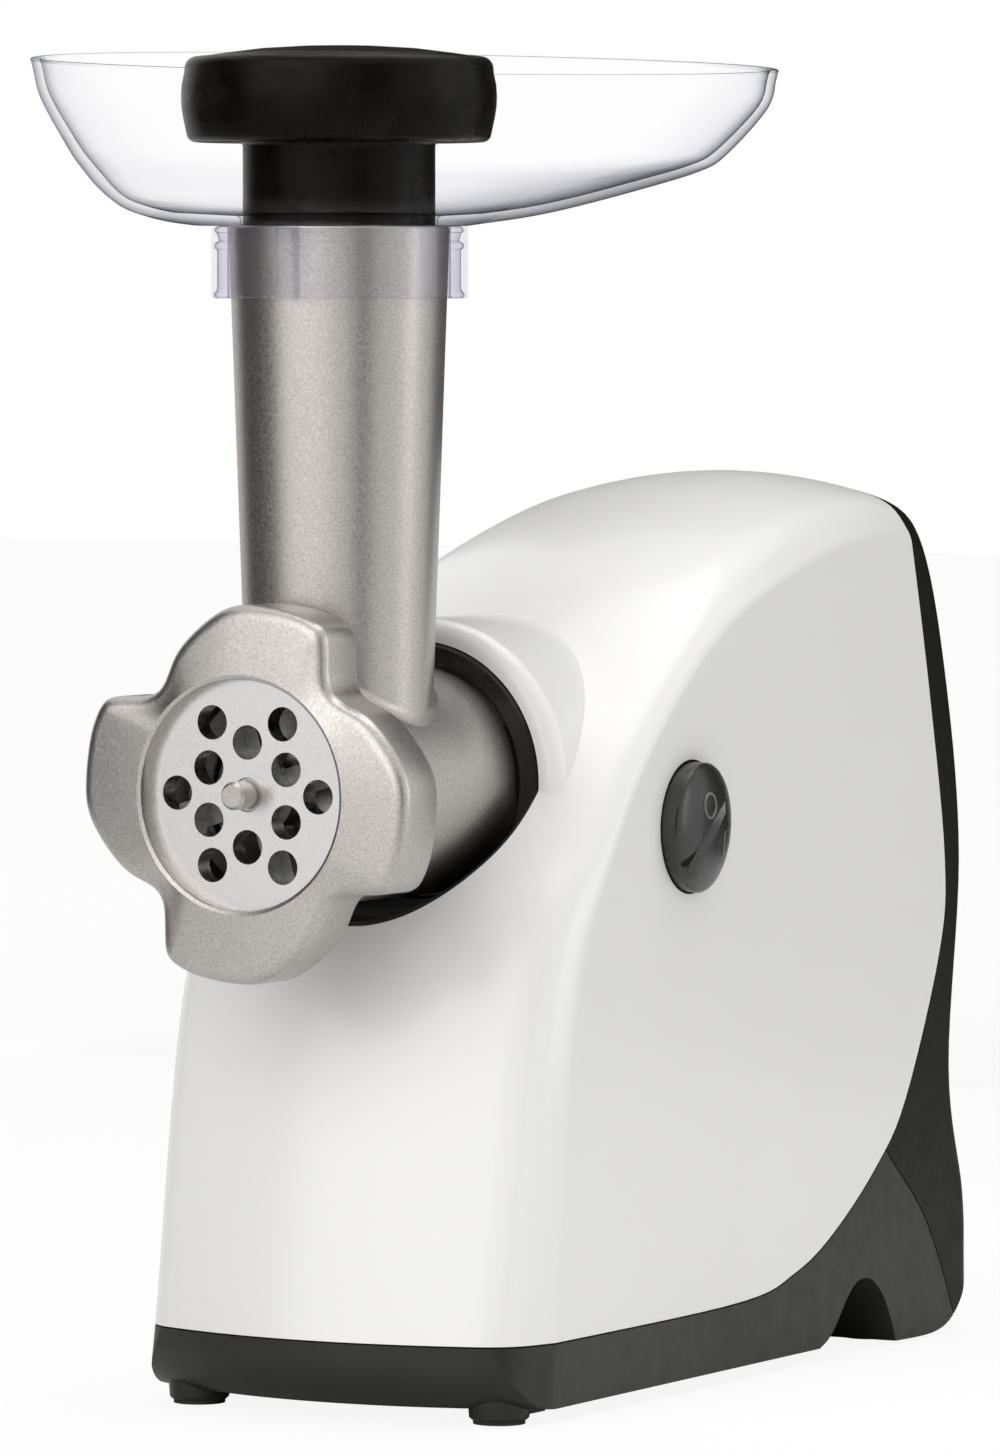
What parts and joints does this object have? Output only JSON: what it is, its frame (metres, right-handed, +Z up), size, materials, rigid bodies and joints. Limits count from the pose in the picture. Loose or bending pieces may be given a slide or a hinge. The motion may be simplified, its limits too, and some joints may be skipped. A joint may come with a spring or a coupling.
{
  "type": "electric meat grinder",
  "caption": "Compact electric meat grinder: white housing on a dark base, cast head with ring nut and perforated plate, clear oval tray and black pusher.",
  "frame": {"origin": "on the ground under the middle of the overall box", "axes": "+Z up, the cutter plate faces -Y, +X to the right seen from the front"},
  "size_m": [0.133, 0.3317, 0.313],
  "materials": {
    "white_plastic": "gloss",
    "dark_plastic": "satin",
    "black_plastic": "satin",
    "sleeve_plastic": "gloss",
    "button_plastic": "gloss",
    "rubber": "matt",
    "cast_aluminium": "bead blasted",
    "die_cast": "as cast",
    "plate_steel": "ground",
    "steel": "turned",
    "lamination": "varnished",
    "bearing_steel": "polished",
    "enamelled_copper": "varnished",
    "copper": "turned",
    "brass": "stamped",
    "carbon": "matt",
    "nylon": "satin",
    "clear_plastic": "polished"
  },
  "bodies": {
    "root": {"housing_shell": "white_plastic", "rear_cover": "dark_plastic", "base_tray": "dark_plastic", "rubber_feet": "rubber", "base_screws": "steel", "socket_sleeve": "sleeve_plastic", "output_bush": "brass", "gearbox_housing": "nylon", "gearbox_cover": "die_cast", "gearbox_screws": "steel", "gear_pins": "steel", "stator_core": "lamination", "field_coils": "enamelled_copper", "motor_bracket": "die_cast", "motor_bolts": "steel", "front_bearing": "bearing_steel", "rear_bearing": "bearing_steel", "brush_holders": "brass", "carbon_brushes": "carbon", "power_switch": "black_plastic", "cord_gland": "black_plastic", "latch_spring": "steel"},
    "rotor": {"motor_shaft": "steel", "armature_core": "lamination", "armature_windings": "enamelled_copper", "commutator": "copper", "cooling_fan": "black_plastic"},
    "first_gear": {"gear_1": "nylon"},
    "second_gear": {"gear_2": "steel"},
    "drive_line": {"output_gear": "steel", "drive_shaft": "steel", "drive_tail": "sleeve_plastic", "feed_screw": "cast_aluminium", "cross_knife": "plate_steel"},
    "head": {"head_casting": "cast_aluminium", "cutter_plate": "plate_steel"},
    "nut": {"ring_nut": "cast_aluminium"},
    "tray_body": {"tray": "clear_plastic"},
    "pusher": {"pusher_body": "black_plastic", "pusher_cap": "black_plastic"},
    "rocker": {"rocker_button": "button_plastic"},
    "release": {"release_button": "button_plastic", "latch_pin": "steel"}
  },
  "joints": [
    {"name": "rotor_spin", "type": "hinge", "parent": "root", "child": "rotor", "pos_m": [0, 0, 0.05619], "axis": [0, 1, 0], "continuous": true},
    {"name": "gear_1_spin", "type": "hinge", "parent": "root", "child": "first_gear", "pos_m": [-0.008, 0, 0.08386], "axis": [0, 1, 0], "continuous": true},
    {"name": "gear_2_spin", "type": "hinge", "parent": "root", "child": "second_gear", "pos_m": [0.01, 0, 0.10786], "axis": [0, 1, 0], "continuous": true},
    {"name": "screw_spin", "type": "hinge", "parent": "root", "child": "drive_line", "pos_m": [0, 0, 0.144], "axis": [0, 1, 0], "continuous": true},
    {"name": "head_twist", "type": "hinge", "parent": "root", "child": "head", "pos_m": [0, 0, 0.144], "axis": [0, -1, 0], "range_deg": [0, 35]},
    {"name": "nut_turn", "type": "hinge", "parent": "head", "child": "nut", "pos_m": [0, 0, 0.144], "axis": [0, -1, 0], "range_deg": [0, 360]},
    {"name": "tray_lift", "type": "slide", "parent": "head", "child": "tray_body", "axis": [0, 0, 1], "range_m": [0, 0.04]},
    {"name": "pusher_lift", "type": "slide", "parent": "tray_body", "child": "pusher", "axis": [0, 0, 1], "range_m": [0, 0.15]},
    {"name": "rocker_tilt", "type": "hinge", "parent": "root", "child": "rocker", "pos_m": [0.04769, 0.0055, 0.1327], "axis": [0.0311, -0.7425, -0.6691], "range_deg": [0, 10]},
    {"name": "release_push", "type": "slide", "parent": "root", "child": "release", "axis": [0, 1, 0], "range_m": [0, 0.004], "stiffness_N_per_m": 400, "springref_m": -0.002, "deforming": ["latch_spring"]}
  ],
  "couplings": [
    {"joint": "gear_1_spin", "follows": "rotor_spin", "ratio": -0.2},
    {"joint": "gear_2_spin", "follows": "rotor_spin", "ratio": 0.05},
    {"joint": "screw_spin", "follows": "rotor_spin", "ratio": -0.0125}
  ]
}
